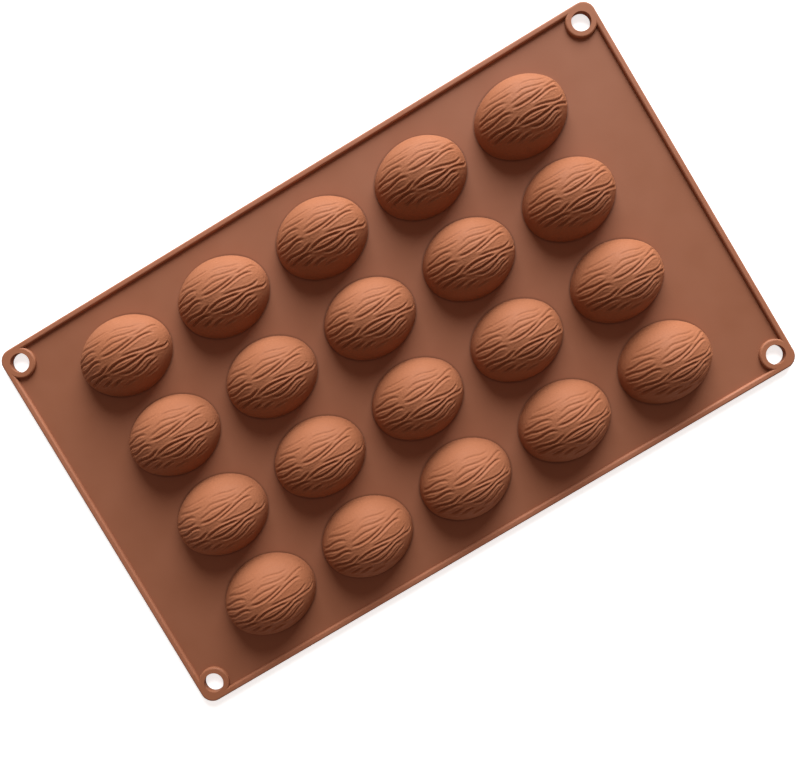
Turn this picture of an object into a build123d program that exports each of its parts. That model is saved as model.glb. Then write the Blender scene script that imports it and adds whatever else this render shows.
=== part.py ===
from build123d import *
import math
import os

# Silicone mold with twenty half walnut cups, domes up, standing on its flat mouth side.
# Millimetres. Origin in the middle of the rest face, +X along the long side, +Z up.

os.makedirs("parts", exist_ok=True)

# Hanging holes in the four corners
HOLE_SPACING_X = 279.0
HOLE_SPACING_Y = 162.0
HOLE_RADIUS = 4.2
EYELET_RADIUS = 6.7

# Sheet, and the bead round its edge
SHEET_THICKNESS = 1.6
EDGE_MARGIN = 7.5          # hole centre to the outer edge
CORNER_RADIUS = 5.5
RIM_WIDTH = 2.6
RIM_HEIGHT = 3.2
RIM_ROUNDING = 0.8

# Cups
CUP_COLUMNS = 5
CUP_ROWS = 4
CUP_PITCH_X = 49.0
CUP_PITCH_Y = 40.0
CUP_HALF_LENGTH = 20.5
CUP_HALF_WIDTH = 16.9
CUP_END_ARC = 45.0         # degrees of round end either side of the cup's tip
CUP_WALL = 1.4

# Worked out from the above
half_length = HOLE_SPACING_X / 2 + EDGE_MARGIN
half_width = HOLE_SPACING_Y / 2 + EDGE_MARGIN
foot_x = half_length - RIM_WIDTH                  # inner foot of the bead
foot_y = half_width - RIM_WIDTH
foot_margin = EDGE_MARGIN - RIM_WIDTH
bead_end_x = HOLE_SPACING_X / 2 - EDGE_MARGIN     # where a corner takes over from the bead
bead_end_y = HOLE_SPACING_Y / 2 - EDGE_MARGIN
crown_share = math.tan(math.radians(45 - CUP_END_ARC / 2))
end_radius = (CUP_HALF_WIDTH - CUP_HALF_LENGTH * crown_share) / (1 - crown_share)
end_centre = CUP_HALF_LENGTH - end_radius
crown_radius = end_radius + end_centre / math.cos(math.radians(CUP_END_ARC))
crown_centre = CUP_HALF_WIDTH - crown_radius


def bead_section(outer_edge):
    """Cross-section of the bead: upright block with a soft top, its outer face at outer_edge."""
    middle = outer_edge - math.copysign(RIM_WIDTH / 2, outer_edge)
    with Locations((middle, RIM_HEIGHT / 2)):
        Rectangle(RIM_WIDTH, RIM_HEIGHT)
    fillet(vertices().group_by(Axis.Y)[-1], RIM_ROUNDING)


def half_oval(inset):
    """Half of a cup's outline above its long axis, this far inside it: a flatter crown between
    two round ends. All three arcs keep their centres, so two insets are parallel."""
    with BuildSketch() as half_plan:
        with BuildLine():
            CenterArc((end_centre, 0), end_radius - inset, 0, CUP_END_ARC)
            CenterArc((0, crown_centre), crown_radius - inset, CUP_END_ARC, 180 - 2 * CUP_END_ARC)
            CenterArc((-end_centre, 0), end_radius - inset, 180 - CUP_END_ARC, CUP_END_ARC)
            Line((inset - CUP_HALF_LENGTH, 0), (CUP_HALF_LENGTH - inset, 0))
        make_face()
    return half_plan.sketch


# Flat sheet between the cups. Its twenty oval mouths are open to both sides, and its corners
# leave room for the eyelets.
with BuildSketch() as mouth:
    add(half_oval(CUP_WALL))
    mirror(about=Plane.XZ)

with BuildPart() as sheet:
    with BuildSketch():
        Rectangle(2 * foot_x, 2 * foot_y)
        with GridLocations(HOLE_SPACING_X, HOLE_SPACING_Y, 2, 2):
            Circle(EYELET_RADIUS, mode=Mode.SUBTRACT)
        with GridLocations(2 * foot_x, 2 * foot_y, 2, 2):
            Rectangle(2 * foot_margin, 2 * foot_margin, mode=Mode.SUBTRACT)
        with GridLocations(CUP_PITCH_X, CUP_PITCH_Y, CUP_COLUMNS, CUP_ROWS):
            add(mouth.sketch, mode=Mode.SUBTRACT)
    extrude(amount=SHEET_THICKNESS)
sheet.part.label = "sheet"
export_step(sheet.part, "parts/sheet.step")


# Bead along each side of the sheet, twice as high as the sheet is thick
for name, section_plane, outer_edge, bead_end in (
    ("rim_right", Plane.XZ, half_length, bead_end_y),
    ("rim_left", Plane.XZ, -half_length, bead_end_y),
    ("rim_back", Plane.YZ, half_width, bead_end_x),
    ("rim_front", Plane.YZ, -half_width, bead_end_x),
):
    with BuildPart() as rim:
        with BuildSketch(section_plane):
            bead_section(outer_edge)
        extrude(amount=bead_end, both=True)
    rim.part.label = name
    export_step(rim.part, f"parts/{name}.step")


# Back right corner: a raised ring round the hanging hole that runs out into the bead both
# ways. The block between the ring and the outside corner is solid.
with BuildPart() as corner:
    with BuildSketch():
        with Locations((HOLE_SPACING_X / 2, HOLE_SPACING_Y / 2)):
            Circle(EYELET_RADIUS)
            Rectangle(EDGE_MARGIN, EDGE_MARGIN, align=(Align.MIN, Align.MIN))
        with Locations((half_length, half_width)):
            Rectangle(3 * EDGE_MARGIN, RIM_WIDTH, align=(Align.MAX, Align.MAX))
            Rectangle(RIM_WIDTH, 3 * EDGE_MARGIN, align=(Align.MAX, Align.MAX))
    extrude(amount=RIM_HEIGHT)
    outside_corner = corner.edges().filter_by(Axis.Z).sort_by(Axis((0, 0, 0), (1, 1, 0)))[-1]
    fillet(outside_corner, CORNER_RADIUS)
    fillet(corner.faces().sort_by(Axis.Z)[-1].edges(), RIM_ROUNDING)
    split(bisect_by=Plane.YZ.offset(bead_end_x), keep=Keep.TOP)
    split(bisect_by=Plane.XZ.offset(-bead_end_y), keep=Keep.BOTTOM)
    with Locations((HOLE_SPACING_X / 2, HOLE_SPACING_Y / 2)):
        Hole(HOLE_RADIUS)

for name, mirror_planes in (
    ("eyelet_back_right", []),
    ("eyelet_back_left", [Plane.YZ]),
    ("eyelet_front_right", [Plane.XZ]),
    ("eyelet_front_left", [Plane.YZ, Plane.XZ]),
):
    with BuildPart() as eyelet:
        add(corner.part)
        for plane in mirror_planes:
            mirror(about=plane, mode=Mode.REPLACE)
    eyelet.part.label = name
    export_step(eyelet.part, f"parts/{name}.step")


# One cup: the shell of half a walnut, of even wall, standing on the sheet. Half of its plan,
# turned half a turn about the long axis, gives the dome and then the hollow.
with BuildPart() as dome:
    for inset, mode in ((0, Mode.ADD), (CUP_WALL, Mode.SUBTRACT)):
        with BuildSketch(Plane.XY.offset(SHEET_THICKNESS)):
            add(half_oval(inset))
        revolve(axis=Axis((0, 0, SHEET_THICKNESS), (1, 0, 0)), revolution_arc=180, mode=mode)

for row in range(CUP_ROWS):
    for column in range(CUP_COLUMNS):
        cup_x = (column - (CUP_COLUMNS - 1) / 2) * CUP_PITCH_X
        cup_y = ((CUP_ROWS - 1) / 2 - row) * CUP_PITCH_Y
        with BuildPart() as cup:
            with Locations((cup_x, cup_y)):
                add(dome.part)
        cup.part.label = f"cup_r{row + 1}c{column + 1}"
        export_step(cup.part, f"parts/{cup.part.label}.step")
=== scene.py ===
import bmesh
import bpy
import math
import numpy as np
from mathutils import Euler, Matrix, Vector


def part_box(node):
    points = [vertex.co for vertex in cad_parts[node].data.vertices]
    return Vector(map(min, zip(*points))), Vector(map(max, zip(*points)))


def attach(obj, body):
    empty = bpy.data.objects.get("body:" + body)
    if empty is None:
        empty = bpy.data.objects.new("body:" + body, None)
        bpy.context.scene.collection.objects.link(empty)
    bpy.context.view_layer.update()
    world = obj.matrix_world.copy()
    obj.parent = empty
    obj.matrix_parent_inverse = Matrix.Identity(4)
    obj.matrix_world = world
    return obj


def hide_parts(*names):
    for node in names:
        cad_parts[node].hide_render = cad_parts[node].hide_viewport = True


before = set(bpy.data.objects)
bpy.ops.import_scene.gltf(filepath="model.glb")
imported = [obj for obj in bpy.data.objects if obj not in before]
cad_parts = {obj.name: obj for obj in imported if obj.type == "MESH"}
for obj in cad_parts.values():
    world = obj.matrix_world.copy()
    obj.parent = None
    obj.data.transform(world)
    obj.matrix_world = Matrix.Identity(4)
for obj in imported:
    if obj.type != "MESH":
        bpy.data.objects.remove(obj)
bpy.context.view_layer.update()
MM = 0.001


# Sheet
# The flat web between the cups, moulded in one with everything else from cocoa coloured
# silicone rubber. Pressed in a polished steel tool, it comes out satin with a faint grain. Its
# colour holds painted shade: a darker, greyer copy of the cocoa, darker still in the corner
# round the foot of every cup.

CUP_COLUMNS = 5
CUP_ROWS = 4
CUP_PITCH_X = 49.0 * MM
CUP_PITCH_Y = 40.0 * MM
CUP_HALF_LENGTH = 20.5 * MM
CUP_HALF_WIDTH = 16.9 * MM
SHEET_TOP = 1.6 * MM

COCOA = (                  # three near shades, and where each lies in the clouding
    (0.30, (0.288, 0.098, 0.045)),
    (0.50, (0.300, 0.104, 0.049)),
    (0.72, (0.312, 0.110, 0.053)),
)
WEB_PAINTED_SHADE = (0.89, 0.91, 0.98)         # painted shade: the web's cocoa a trace darker and greyer than the cups'
CLOUD_SIZE = 22 * MM
SMEAR_SIZE = 7 * MM
SATIN = (0.54, 0.64)                   # roughness, from one smear to the next
SILICONE_IOR = 1.41
WEB_GLOSS = 0.34
SWELL_SIZE = 3.2 * MM
SWELL_DEPTH = 0.05 * MM
SWELL_STRENGTH = 0.25
WEB_PORE = 0.45 * MM
WEB_GRAIN = 0.014 * MM
STREAK_WIDTH = 1.1 * MM
STREAK_STRETCH = 0.11                  # so streaks are nine times as long as wide
# how wide and how dark the painted shade round each cup's foot is
FOOT_SHADE_WIDTH = 1.0 * MM
FOOT_SHADE_STRENGTH = 0.35


def fill(tree, socket, value):
    """Links a socket to another node's output, or sets it to a plain value."""
    if hasattr(value, "is_output"):
        tree.links.new(value, socket)
    else:
        socket.default_value = value


def node(tree, kind, **values):
    """A shader node with its sockets filled by name, an underscore standing for a space."""
    made = tree.nodes.new(kind)
    for name, value in values.items():
        fill(tree, made.inputs[name.replace("_", " ")], value)
    return made


def maths(tree, operation, *values):
    """The result of one Math node."""
    made = tree.nodes.new("ShaderNodeMath")
    made.operation = operation
    for socket, value in zip(made.inputs, values):
        fill(tree, socket, value)
    return made.outputs["Value"]


def blotches(tree, place, size, detail):
    """Soft noise with spots about as wide as size, in metres."""
    noise = node(tree, "ShaderNodeTexNoise", Vector=place, Scale=1.0 / size, Detail=detail,
                 Roughness=0.55)
    return noise.outputs["Fac"]


def empty_tree(owner):
    """The shader tree of a material or of the sky, with nothing in it yet."""
    owner.use_nodes = True
    owner.node_tree.nodes.clear()
    return owner.node_tree


def from_cup(tree, place, pitch, count):
    """One coordinate, measured from the middle of the nearest cup."""
    middle = (count - 1) / 2
    nearest = maths(tree, "ROUND", maths(tree, "ADD", maths(tree, "DIVIDE", place, pitch), middle))
    nearest = maths(tree, "MINIMUM", maths(tree, "MAXIMUM", nearest, 0), count - 1)
    cup = maths(tree, "MULTIPLY", maths(tree, "SUBTRACT", nearest, middle), pitch)
    return maths(tree, "SUBTRACT", place, cup)


def oval_length(tree, x, y, power):
    """Length of (x, y), each part divided by this power of the cup's half size along it."""
    squares = []
    for part, half_size in ((x, CUP_HALF_LENGTH), (y, CUP_HALF_WIDTH)):
        share = maths(tree, "DIVIDE", part, half_size**power)
        squares.append(maths(tree, "MULTIPLY", share, share))
    return maths(tree, "SQRT", maths(tree, "ADD", *squares))


def painted_shade_round_cups(tree, place):
    """Mask of a painted shade: 1 in the corner between the top of the sheet and a cup,
    falling to 0 beside it.
    """
    split = node(tree, "ShaderNodeSeparateXYZ", Vector=place)
    x = from_cup(tree, split.outputs["X"], CUP_PITCH_X, CUP_COLUMNS)
    y = from_cup(tree, split.outputs["Y"], CUP_PITCH_Y, CUP_ROWS)
    share = oval_length(tree, x, y, 1)
    slope = oval_length(tree, x, y, 2)
    beyond = maths(tree, "MULTIPLY", maths(tree, "SUBTRACT", share, 1), share)
    from_foot = maths(tree, "DIVIDE", beyond, slope)
    foot_shade_mask = node(tree, "ShaderNodeMapRange", Value=from_foot, From_Min=0.0, From_Max=FOOT_SHADE_WIDTH,
               To_Min=1.0, To_Max=0.0)
    foot_shade_mask.interpolation_type = "SMOOTHSTEP"
    on_top = maths(tree, "GREATER_THAN", split.outputs["Z"], 0.9 * SHEET_TOP)
    return maths(tree, "MULTIPLY", foot_shade_mask.outputs["Result"], on_top)


def silicone(name, painted_tint=(1, 1, 1), grain=WEB_GRAIN, pore=WEB_PORE, gloss=WEB_GLOSS,
             painted_foot_shade=False, streaks=0.0):
    """Cocoa silicone: faint clouding in the colour, uneven satin, and a moulded grain this deep
    with pores this wide, under streaks this deep that run along the mold."""
    made = bpy.data.materials.new(name)
    tree = empty_tree(made)
    place = tree.nodes.new("ShaderNodeTexCoord").outputs["Object"]

    tint = node(tree, "ShaderNodeValToRGB", Fac=blotches(tree, place, CLOUD_SIZE, 2.0))
    tint.color_ramp.elements.new(0.50)
    # painted light: the cocoa is multiplied by this tint, making darker or paler copies of it for
    # the web, bead and eyelets
    for stop, (position, cocoa) in zip(tint.color_ramp.elements, COCOA):
        stop.position = position
        stop.color = (*(part * whole for part, whole in zip(cocoa, painted_tint)), 1)
    colour = tint.outputs["Color"]
    # painted shade: darkens the colour in the corner round the foot of each cup
    if painted_foot_shade:
        foot_shade_mask = maths(tree, "MULTIPLY", painted_shade_round_cups(tree, place), FOOT_SHADE_STRENGTH)
        darker = node(tree, "ShaderNodeMixRGB", Fac=foot_shade_mask, Color1=colour, Color2=(0, 0, 0, 1))
        colour = darker.outputs["Color"]

    satin = node(tree, "ShaderNodeMapRange", Value=blotches(tree, place, SMEAR_SIZE, 3.0),
                 From_Min=0.3, From_Max=0.7, To_Min=SATIN[0], To_Max=SATIN[1])

    swell = node(tree, "ShaderNodeBump", Height=blotches(tree, place, SWELL_SIZE, 2.0),
                 Distance=SWELL_DEPTH, Strength=SWELL_STRENGTH)
    skin = node(tree, "ShaderNodeBump", Height=blotches(tree, place, pore, 3.0),
                Distance=grain, Strength=1.0, Normal=swell.outputs["Normal"])
    if streaks:
        drawn = node(tree, "ShaderNodeMapping", Vector=place, Scale=(STREAK_STRETCH, 1, 1))
        lines = blotches(tree, drawn.outputs["Vector"], STREAK_WIDTH, 1.0)
        skin = node(tree, "ShaderNodeBump", Height=lines, Distance=streaks, Strength=1.0,
                    Normal=skin.outputs["Normal"])

    rubber = node(tree, "ShaderNodeBsdfPrincipled", Base_Color=colour, IOR=SILICONE_IOR,
                  Roughness=satin.outputs["Result"], Normal=skin.outputs["Normal"],
                  Specular_IOR_Level=gloss)
    node(tree, "ShaderNodeOutputMaterial", Surface=rubber.outputs["BSDF"])
    return made


def finish_node(name, material):
    """Gives a moulded region that keeps its own solid the finish of the real one."""
    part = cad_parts[name]
    part.data.materials.clear()
    part.data.materials.append(material)


# painted shade: the web's colour is a darker, greyer cocoa, and darker still round each cup's foot
finish_node("sheet", silicone("silicone_web", WEB_PAINTED_SHADE, painted_foot_shade=True))


# Bead and eyelets
# A bead twice the sheet's height runs round the edge and swells to a ring round each hanging
# hole. It stiffens the sheet and is moulded in one with it, so it has the sheet's satin. Its
# colour, and the eyelets', is painted highlight: a paler, bluer copy of the cocoa.

# painted highlight: the bead's and eyelets' cocoa is paler and bluer than the web's
BEAD_PAINTED_HIGHLIGHT = (1.10, 1.15, 1.28)
EYELET_PAINTED_HIGHLIGHT = (1.04, 1.07, 1.12)

bead_skin = silicone("silicone_bead", BEAD_PAINTED_HIGHLIGHT)
eyelet_skin = silicone("silicone_eyelet", EYELET_PAINTED_HIGHLIGHT)
for side in ("front", "back", "left", "right"):
    finish_node("rim_" + side, bead_skin)
for corner in ("front_left", "front_right", "back_left", "back_right"):
    finish_node("eyelet_" + corner, eyelet_skin)


# Cups
# Twenty hollow half walnuts, moulded in one with the sheet. The tool's cores were cut after a
# real shell, so veins sunk between low lips run from end to end on the outside and stand up as
# ridges on the inside, and the skin has a shell's fine streaks.

WALL = 1.4 * MM
STEPS_ROUND = 260          # round the long axis, over the half that shows
STEPS_ALONG = 126
CROWN_DRAW = 0.35          # how far the steps are drawn together towards the crown
INSIDE_STEPS_ROUND = 120
INSIDE_STEPS_ALONG = 60

VEIN_DEPTH = 0.76 * MM     # of a vein of strength 1
VEIN_HALF_WIDTH = 0.60 * MM
VEIN_TIP = 0.08            # how blunt the bottom of a vein is, as a share of its half width
VEIN_FLARE = 1.1           # above 1, the sides lie back towards the top
VEIN_TAPER = 2.4 * MM      # length over which an end runs out
VEIN_TAPER_CURVE = 0.7
LIP_HEIGHT = 0.22 * MM     # the skin lies this far under the plain dome, and lips rise to it
LIP_PLACE = 1.02 * MM      # from the middle of the vein
LIP_WIDTH = 0.36 * MM
FOOT_BAND = 2.0 * MM       # veins and lips fade out over this height above the sheet
FOOT_CURVE = 0.8
COURSE_STEP = 0.15 * MM    # between the points that stand for a vein
COURSE_REACH = 3 * MM      # beyond this a vein has no effect

CUP_PORE = 0.75 * MM
CUP_GRAIN = 0.18 * MM
CUP_GLOSS = 0.12
STREAK_DEPTH = 0.11 * MM

# The dome's outline: a flatter crown between two round ends
END_CENTRE = (CUP_HALF_LENGTH - CUP_HALF_WIDTH) / (2 - math.sqrt(2))
END_RADIUS = CUP_HALF_LENGTH - END_CENTRE
CROWN_RADIUS = END_RADIUS + math.sqrt(2) * END_CENTRE

# How strong each vein is, and its course seen from above, in mm from the middle of the cup
VEINS = (
    (0.28, (-11.0, 10.98), (-6.0, 10.68), (-2.0, 10.57), (2.2, 10.61)),
    (0.42, (-14.0, 9.14), (-11.0, 8.94), (-7.0, 8.1), (-4.0, 7.84), (-1.8, 7.83)),
    (0.53, (-17.6, 5.84), (-15.0, 5.93), (-12.0, 6.43), (-9.5, 6.42), (-7.3, 5.78), (-6.2, 4.77)),
    (0.57, (-18.8, 3.9), (-16.0, 4.0), (-13.0, 3.4), (-10.0, 3.14), (-7.2, 3.18)),
    (0.75, (-19.3, 1.71), (-16.0, 0.89), (-13.5, 0.89), (-10.0, 1.34), (-7.6, 0.88),
     (-6.4, -0.24)),
    (0.39, (-5.0, 3.38), (-1.5, 3.93), (2.0, 4.25), (5.5, 3.87), (9.0, 3.8)),
    (0.65, (-5.2, 1.97), (-2.5, 1.36), (0.5, 1.23), (4.0, 1.44), (8.0, 2.16), (10.2, 2.71)),
    (0.64, (2.2, -0.22), (6.0, 0.3), (9.5, 1.01), (13.0, 1.7), (15.5, 1.78), (17.2, 1.14)),
    (0.33, (-1.8, 5.54), (0.5, 6.28), (2.5, 6.66), (5.5, 6.08), (9.0, 5.23), (13.5, 4.87)),
    (0.46, (10.9, 3.06), (14.0, 3.52), (16.8, 4.14), (18.6, 3.99), (19.4, 2.75)),
    (0.30, (2.3, 8.8), (5.0, 9.13), (8.0, 8.47), (11.0, 7.38), (14.5, 6.9)),
    (0.13, (4.8, 12.38), (7.6, 12.3), (11.0, 11.5)),
    (0.16, (-14.5, -1.74), (-12.0, -1.65), (-8.8, -1.75)),
    (0.98, (-18.5, -2.74), (-15.0, -2.64), (-12.0, -3.23), (-9.0, -3.62), (-6.2, -2.95),
     (-4.8, -2.73)),
    (1.20, (-17.5, -5.39), (-13.0, -5.27), (-10.0, -5.27), (-8.0, -5.61), (-6.4, -6.38)),
    (1.20, (-13.0, -8.4), (-10.0, -8.34), (-8.0, -8.23), (-6.2, -8.01)),
    (1.20, (-9.0, -10.56), (-5.0, -9.94), (-2.0, -10.24)),
    (0.82, (-5.0, -12.65), (-1.5, -12.45), (2.4, -12.63)),
    (0.99, (-6.4, -4.79), (-4.0, -4.22), (-1.0, -3.8), (2.0, -3.84), (5.5, -4.21), (8.4, -4.83)),
    (1.20, (-5.4, -5.7), (-3.0, -6.22), (0.5, -6.71), (4.0, -6.53), (8.0, -6.07), (10.5, -5.7)),
    (0.56, (2.2, -2.33), (5.0, -2.64), (8.0, -3.07), (12.0, -3.81), (15.0, -3.76), (17.6, -2.72)),
    (0.62, (10.2, -5.57), (13.0, -5.36), (16.0, -5.66), (17.8, -5.71), (19.4, -4.61)),
    (1.20, (-2.2, -7.84), (0.0, -8.82), (2.5, -9.13), (5.5, -8.64), (8.5, -7.59), (11.0, -6.98),
     (13.2, -7.47)),
    (1.08, (1.5, -11.17), (4.5, -11.27), (7.5, -10.7), (10.0, -9.66), (13.5, -8.93)),
    (0.68, (4.6, -13.34), (8.0, -12.94), (11.5, -12.19)),
)


def flowing(points, spacing):
    """Points along the smooth line through the given ones, about this far apart."""
    knots = [2 * points[0] - points[1], *points, 2 * points[-1] - points[-2]]
    line = []
    for before, start, end, after in zip(knots, knots[1:], knots[2:], knots[3:]):
        count = max(2, math.ceil(np.linalg.norm(end - start) / spacing))
        t = np.linspace(0, 1, count, endpoint=False)[:, None]
        turn = (end - before) * t + (2 * before - 5 * start + 4 * end - after) * t**2
        line.append(start + (turn + (3 * start - before - 3 * end + after) * t**3) / 2)
    return np.vstack([*line, points[-1][None]])


def plain_dome(facing, inset=0.0):
    """The points of the plain dome, this far inside its skin, at which it faces these ways."""
    upright = np.hypot(facing[:, 1], facing[:, 2])
    side = math.sqrt(2) * END_CENTRE
    swollen = np.maximum(side * upright - END_CENTRE, 0) / np.maximum(upright, 1e-6)
    spots = facing * (END_RADIUS - inset + swollen)[:, None]
    ends = np.clip(side * facing[:, 0], -END_CENTRE, END_CENTRE)
    spots[:, 0] = facing[:, 0] * (END_RADIUS - inset) + ends
    return spots


def on_dome(line):
    """A course given in plan, lifted on to the plain dome."""
    along = np.abs(line[:, 0])
    end = np.sqrt(np.clip(END_RADIUS**2 - (along - END_CENTRE) ** 2, 0, None))
    crown = np.sqrt(CROWN_RADIUS**2 - along**2) - END_CENTRE
    across = np.where(along > END_CENTRE + END_RADIUS / math.sqrt(2), end, crown)
    return np.column_stack([line, np.sqrt(np.clip(across**2 - line[:, 1] ** 2, 0, None))])


def vein_relief(at):
    """How far the skin stands below the plain dome at each point of it, in metres."""
    depth = np.zeros(len(at))
    lip = np.zeros(len(at))
    for strength, *course in VEINS:
        line = on_dome(flowing([np.array(point) * MM for point in course], COURSE_STEP))
        travelled = np.r_[0, np.cumsum(np.linalg.norm(np.diff(line, axis=0), axis=1))]
        to_end = np.minimum(travelled, travelled[-1] - travelled)
        taper = strength * np.clip(to_end / VEIN_TAPER, 0, 1) ** VEIN_TAPER_CURVE
        low, high = line.min(0) - COURSE_REACH, line.max(0) + COURSE_REACH
        near = np.flatnonzero(((at > low) & (at < high)).all(1))
        gap = np.linalg.norm(at[near, None] - line[None], axis=2)
        closest = gap.argmin(1)
        gap = gap[np.arange(len(near)), closest]
        sloped = 1 + VEIN_TIP - np.hypot(gap / VEIN_HALF_WIDTH, VEIN_TIP)
        groove = np.clip(sloped, 0, 1) ** VEIN_FLARE
        beside = np.exp(-(((gap - LIP_PLACE) / LIP_WIDTH) ** 2))
        depth[near] = np.maximum(depth[near], taper[closest] * groove)
        lip[near] = np.maximum(lip[near], taper[closest] * beside)
    fade = np.clip(at[:, 2] / FOOT_BAND, 0, 1) ** FOOT_CURVE
    return fade * (VEIN_DEPTH * depth + LIP_HEIGHT * (1 - lip * np.clip(1 - depth, 0, 1)))


def cup_wall(inset, steps_round, steps_along):
    """One face of the cup's wall: the half dome lying on its long axis, veins and all."""
    skin = bmesh.new()
    bmesh.ops.create_uvsphere(skin, u_segments=2 * steps_round, v_segments=steps_along, radius=1)
    bmesh.ops.rotate(skin, verts=skin.verts, matrix=Matrix.Rotation(math.pi / 2, 3, "Y"))
    ball = skin.verts[:] + skin.edges[:] + skin.faces[:]
    bmesh.ops.bisect_plane(skin, geom=ball, dist=1e-5, plane_no=(0, 0, 1), clear_inner=True)
    facing = np.array([vert.co for vert in skin.verts])
    upright = np.hypot(facing[:, 1], facing[:, 2])
    lean = np.arctan2(facing[:, 1], facing[:, 2])
    lean -= CROWN_DRAW * np.sin(2 * lean) / 2
    facing = np.column_stack([facing[:, 0], upright * np.sin(lean), upright * np.cos(lean)])
    sunk = vein_relief(plain_dome(facing))
    for vert, spot in zip(skin.verts, plain_dome(facing, inset) - facing * sunk[:, None]):
        vert.co = spot
        vert.co.z = max(vert.co.z, 0.0)
    return skin


def cup_mesh():
    """The whole cup, its foot on z = 0: outer wall, inner wall and the ring between them."""
    whole = bpy.data.meshes.new("cup")
    outside = cup_wall(0.0, STEPS_ROUND, STEPS_ALONG)
    outside.to_mesh(whole)
    outside.free()
    inside = cup_wall(WALL, INSIDE_STEPS_ROUND, INSIDE_STEPS_ALONG)
    bmesh.ops.reverse_faces(inside, faces=inside.faces)
    inner_half = bpy.data.meshes.new("cup_inside")
    inside.to_mesh(inner_half)
    inside.free()
    joined = bmesh.new()
    joined.from_mesh(whole)
    joined.from_mesh(inner_half)
    for face in joined.faces:
        face.smooth = True
    feet = [edge for edge in joined.edges if edge.is_boundary]
    for edge in feet:
        edge.smooth = False
    bmesh.ops.bridge_loops(joined, edges=feet)
    joined.to_mesh(whole)
    joined.free()
    bpy.data.meshes.remove(inner_half)
    return whole


veined_skin = silicone("silicone_veined", grain=CUP_GRAIN, pore=CUP_PORE, gloss=CUP_GLOSS,
                       streaks=STREAK_DEPTH)
pattern = cup_mesh()
pattern.materials.append(veined_skin)
for row in range(1, CUP_ROWS + 1):
    for column in range(1, CUP_COLUMNS + 1):
        name = f"cup_r{row}c{column}"
        low, high = (Vector(corner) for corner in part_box(name))
        foot = Vector(((low.x + high.x) / 2, (low.y + high.y) / 2, low.z))
        shell = bpy.data.objects.new("walnut_" + name, pattern.copy())
        shell.data.transform(Matrix.Translation(foot))
        bpy.context.scene.collection.objects.link(shell)
        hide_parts(name)
        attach(shell, "root")
bpy.data.meshes.remove(pattern)


# Floor, light and camera
# A white paper sweep under the mold, one wide soft lamp low over the back right corner, a
# pale sky for the rest, and the camera almost straight above, turned as the photo is.

FLOOR_SIZE = 6.0
FLOOR_GAP = 0.05 * MM      # keeps the paper and the mouth side from being one face
PAPER_WHITE = 0.78
PAPER_GLOW = 0.7           # seen by the camera alone, it throws no light on the mold
LAMP_AZIMUTH = math.radians(57)
LAMP_HEIGHT_ANGLE = math.radians(21.3)
LAMP_DISTANCE = 1.5
LAMP_WIDTH = 1.4
LAMP_POWER = 72.5
LAMP_TINT = (0.84, 0.93, 0.97)
SKY = 0.29
SKY_TINT = (1.0, 0.74, 0.62)
CAMERA_PLACE = (8.8 * MM, -5.2 * MM, 344.1 * MM)
CAMERA_TURN = (math.radians(-2.136), math.radians(1.274), math.radians(-30.766))
CAMERA_LENS = 35.97
CAMERA_SENSOR = 36.0

paper = bpy.data.materials.new("paper")
tree = empty_tree(paper)
seen = tree.nodes.new("ShaderNodeLightPath")
glow = node(tree, "ShaderNodeEmission", Color=(PAPER_GLOW, PAPER_GLOW, PAPER_GLOW, 1),
            Strength=seen.outputs["Is Camera Ray"])
dull = node(tree, "ShaderNodeBsdfDiffuse", Color=(PAPER_WHITE, PAPER_WHITE, PAPER_WHITE, 1))
both = tree.nodes.new("ShaderNodeAddShader")
fill(tree, both.inputs[0], glow.outputs["Emission"])
fill(tree, both.inputs[1], dull.outputs["BSDF"])
node(tree, "ShaderNodeOutputMaterial", Surface=both.outputs["Shader"])

ground = bmesh.new()
bmesh.ops.create_grid(ground, x_segments=1, y_segments=1, size=FLOOR_SIZE / 2)
bmesh.ops.translate(ground, verts=ground.verts, vec=(0, 0, -FLOOR_GAP))
floor_mesh = bpy.data.meshes.new("floor")
ground.to_mesh(floor_mesh)
ground.free()
floor_mesh.materials.append(paper)
floor = bpy.data.objects.new("floor", floor_mesh)
bpy.context.scene.collection.objects.link(floor)

world = bpy.data.worlds.new("sky")
bpy.context.scene.world = world
tree = empty_tree(world)
seen = tree.nodes.new("ShaderNodeLightPath")
around = node(tree, "ShaderNodeBackground", Color=(*SKY_TINT, 1), Strength=SKY)
white = node(tree, "ShaderNodeBackground", Color=(1, 1, 1, 1), Strength=1.0)
sky = node(tree, "ShaderNodeMixShader", Fac=seen.outputs["Is Camera Ray"])
fill(tree, sky.inputs[1], around.outputs["Background"])
fill(tree, sky.inputs[2], white.outputs["Background"])
node(tree, "ShaderNodeOutputWorld", Surface=sky.outputs["Shader"])

lamp_data = bpy.data.lights.new("soft_lamp", "AREA")
lamp_data.shape = "DISK"
lamp_data.size = LAMP_WIDTH
lamp_data.energy = LAMP_POWER
lamp_data.color = LAMP_TINT
lamp = bpy.data.objects.new("soft_lamp", lamp_data)
towards = Vector((
    math.cos(LAMP_HEIGHT_ANGLE) * math.cos(LAMP_AZIMUTH),
    math.cos(LAMP_HEIGHT_ANGLE) * math.sin(LAMP_AZIMUTH),
    math.sin(LAMP_HEIGHT_ANGLE),
))
lamp.location = LAMP_DISTANCE * towards
lamp.rotation_euler = towards.to_track_quat("Z", "Y").to_euler()
bpy.context.scene.collection.objects.link(lamp)

camera_data = bpy.data.cameras.new("camera")
camera_data.sensor_fit = "HORIZONTAL"
camera_data.sensor_width = CAMERA_SENSOR
camera_data.lens = CAMERA_LENS
camera = bpy.data.objects.new("camera", camera_data)
camera.location = CAMERA_PLACE
camera.rotation_euler = Euler(CAMERA_TURN)
bpy.context.scene.collection.objects.link(camera)
bpy.context.scene.camera = camera
bpy.context.scene.view_settings.view_transform = "Standard"
